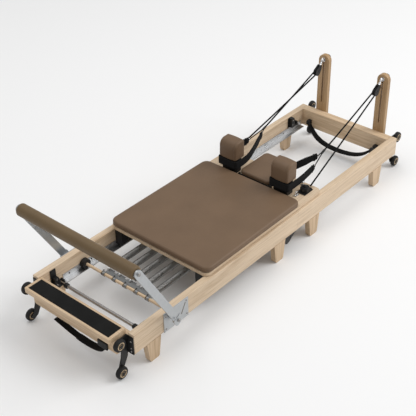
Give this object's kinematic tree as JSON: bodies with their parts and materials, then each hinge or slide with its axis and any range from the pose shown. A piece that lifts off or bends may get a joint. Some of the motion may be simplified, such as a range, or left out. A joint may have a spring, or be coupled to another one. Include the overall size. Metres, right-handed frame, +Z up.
{
  "type": "pilates reformer",
  "caption": "Folding wooden pilates reformer: padded sliding carriage on rails, springs, footbar, shoulder rests, ropes over pulleys on slotted risers, end wheels.",
  "frame": {"origin": "on the floor, at the middle of the footprint", "axes": "+X towards the head end, +Y towards the left rail, +Z up"},
  "size_m": [2.406, 0.778, 0.624],
  "materials": {
    "wood": "satin, pale straight-grained",
    "mat": "matte, fine texture",
    "track_metal": "anodised",
    "black_metal": "satin black",
    "rod_steel": "plated",
    "footbar_metal": "silver-grey coat",
    "leather": "fine-grained, satin",
    "webbing": "woven",
    "wheel": "matte with a tan hub",
    "black_plastic": "matte"
  },
  "bodies": {
    "foot_frame": {"foot_rail_left": "wood", "foot_rail_right": "wood", "foot_end_beam": "wood", "foot_leg_tie": "wood", "foot_legs": "wood", "platform_board": "wood", "platform_mat": "mat", "foot_tracks": "track_metal", "gear_rod": "rod_steel", "foot_rod_hooks": "black_metal", "spring_bar_handle": "wood", "spring_bar_plate": "track_metal", "spring_bar_holders": "black_plastic", "springs": "rod_steel", "foot_castor_brackets": "black_metal", "foot_strap": "webbing", "footbar_side_plates": "rod_steel", "foot_hinge_leaves": "black_metal"},
    "footbar": {"footbar_frame": "footbar_metal", "footbar_roll": "leather"},
    "head_frame": {"head_rail_left": "wood", "head_rail_right": "wood", "head_end_board": "wood", "head_leg_tie": "wood", "head_legs": "wood", "head_tracks": "track_metal", "risers": "wood", "head_castor_brackets": "black_metal", "head_strap": "webbing", "head_hinge_leaves": "black_metal", "head_rod_hooks": "black_metal", "pulley_blocks": "black_plastic", "ropes": "webbing"},
    "carriage": {"carriage_board": "wood", "carriage_pad": "leather", "shoulder_rest_left": "leather", "shoulder_rest_right": "leather", "shoulder_bases": "black_metal", "hand_loops": "webbing", "rope_lock_bases": "black_plastic", "roller_hangers": "black_metal", "spring_anchor_bar": "black_metal", "headrest_hinge": "black_metal"},
    "headrest": {"headrest": "leather"},
    "front_rollers": {"front_rollers": "black_plastic"},
    "rear_rollers": {"rear_rollers": "black_plastic"},
    "foot_upper_wheel_left": {"foot_upper_wheel_left": "wheel"},
    "foot_upper_wheel_right": {"foot_upper_wheel_right": "wheel"},
    "foot_lower_wheel_left": {"foot_lower_wheel_left": "wheel"},
    "foot_lower_wheel_right": {"foot_lower_wheel_right": "wheel"},
    "head_upper_wheel_left": {"head_upper_wheel_left": "wheel"},
    "head_upper_wheel_right": {"head_upper_wheel_right": "wheel"},
    "head_lower_wheel_left": {"head_lower_wheel_left": "wheel"},
    "head_lower_wheel_right": {"head_lower_wheel_right": "wheel"},
    "sheave_left": {"sheave_left": "black_plastic"},
    "sheave_right": {"sheave_right": "black_plastic"},
    "riser_knob_left": {"riser_knob_left": "black_plastic"},
    "riser_knob_right": {"riser_knob_right": "black_plastic"},
    "rope_lock_knob_left": {"rope_lock_knob_left": "black_plastic"},
    "rope_lock_knob_right": {"rope_lock_knob_right": "black_plastic"}
  },
  "joints": [
    {"name": "fold_hinge", "type": "hinge", "parent": "foot_frame", "child": "head_frame", "pos_m": [0.07, 0, 0.095], "axis": [0, 1, 0], "range_deg": [0, 130]},
    {"name": "carriage_slide", "type": "slide", "parent": "foot_frame", "child": "carriage", "axis": [1, 0, 0], "range_m": [0, 0.45], "stiffness_N_per_m": 1200, "springref_m": -0.03, "deforming": ["springs", "ropes"]},
    {"name": "footbar_pivot", "type": "hinge", "parent": "foot_frame", "child": "footbar", "pos_m": [-0.867, 0, 0.184], "axis": [0, 1, 0], "range_deg": [-50, 60]},
    {"name": "headrest_tilt", "type": "hinge", "parent": "carriage", "child": "headrest", "pos_m": [0.186, 0, 0.256], "axis": [0, -1, 0], "range_deg": [0, 35]},
    {"name": "front_roller_turn", "type": "hinge", "parent": "carriage", "child": "front_rollers", "pos_m": [-0.55, 0, 0.1493], "axis": [0, 1, 0], "continuous": true},
    {"name": "rear_roller_turn", "type": "hinge", "parent": "carriage", "child": "rear_rollers", "pos_m": [0.27, 0, 0.1493], "axis": [0, 1, 0], "continuous": true},
    {"name": "foot_upper_wheel_left_turn", "type": "hinge", "parent": "foot_frame", "child": "foot_upper_wheel_left", "pos_m": [-1.173, 0.31, 0.2], "axis": [0, 1, 0], "continuous": true},
    {"name": "foot_upper_wheel_right_turn", "type": "hinge", "parent": "foot_frame", "child": "foot_upper_wheel_right", "pos_m": [-1.173, -0.31, 0.2], "axis": [0, 1, 0], "continuous": true},
    {"name": "foot_lower_wheel_left_turn", "type": "hinge", "parent": "foot_frame", "child": "foot_lower_wheel_left", "pos_m": [-1.173, 0.31, 0.035], "axis": [0, 1, 0], "continuous": true},
    {"name": "foot_lower_wheel_right_turn", "type": "hinge", "parent": "foot_frame", "child": "foot_lower_wheel_right", "pos_m": [-1.173, -0.31, 0.035], "axis": [0, 1, 0], "continuous": true},
    {"name": "head_upper_wheel_left_turn", "type": "hinge", "parent": "head_frame", "child": "head_upper_wheel_left", "pos_m": [1.166, 0.31, 0.2], "axis": [0, 1, 0], "continuous": true},
    {"name": "head_upper_wheel_right_turn", "type": "hinge", "parent": "head_frame", "child": "head_upper_wheel_right", "pos_m": [1.166, -0.31, 0.2], "axis": [0, 1, 0], "continuous": true},
    {"name": "head_lower_wheel_left_turn", "type": "hinge", "parent": "head_frame", "child": "head_lower_wheel_left", "pos_m": [1.166, 0.31, 0.035], "axis": [0, 1, 0], "continuous": true},
    {"name": "head_lower_wheel_right_turn", "type": "hinge", "parent": "head_frame", "child": "head_lower_wheel_right", "pos_m": [1.166, -0.31, 0.035], "axis": [0, 1, 0], "continuous": true},
    {"name": "sheave_left_turn", "type": "hinge", "parent": "head_frame", "child": "sheave_left", "pos_m": [1.048, 0.205, 0.523], "axis": [0, 1, 0], "continuous": true},
    {"name": "riser_knob_left_turn", "type": "hinge", "parent": "head_frame", "child": "riser_knob_left", "pos_m": [1.152, 0.205, 0.572], "axis": [1, 0, 0], "continuous": true},
    {"name": "rope_lock_knob_left_turn", "type": "hinge", "parent": "carriage", "child": "rope_lock_knob_left", "pos_m": [0.28, 0.269, 0.268], "axis": [0, 0, 1], "continuous": true},
    {"name": "sheave_right_turn", "type": "hinge", "parent": "head_frame", "child": "sheave_right", "pos_m": [1.048, -0.205, 0.523], "axis": [0, 1, 0], "continuous": true},
    {"name": "riser_knob_right_turn", "type": "hinge", "parent": "head_frame", "child": "riser_knob_right", "pos_m": [1.152, -0.205, 0.572], "axis": [1, 0, 0], "continuous": true},
    {"name": "rope_lock_knob_right_turn", "type": "hinge", "parent": "carriage", "child": "rope_lock_knob_right", "pos_m": [0.28, -0.269, 0.268], "axis": [0, 0, 1], "continuous": true}
  ],
  "couplings": [
    {"joint": "front_roller_turn", "follows": "carriage_slide", "rad_per_m": 38.462},
    {"joint": "rear_roller_turn", "follows": "carriage_slide", "rad_per_m": 38.462}
  ]
}
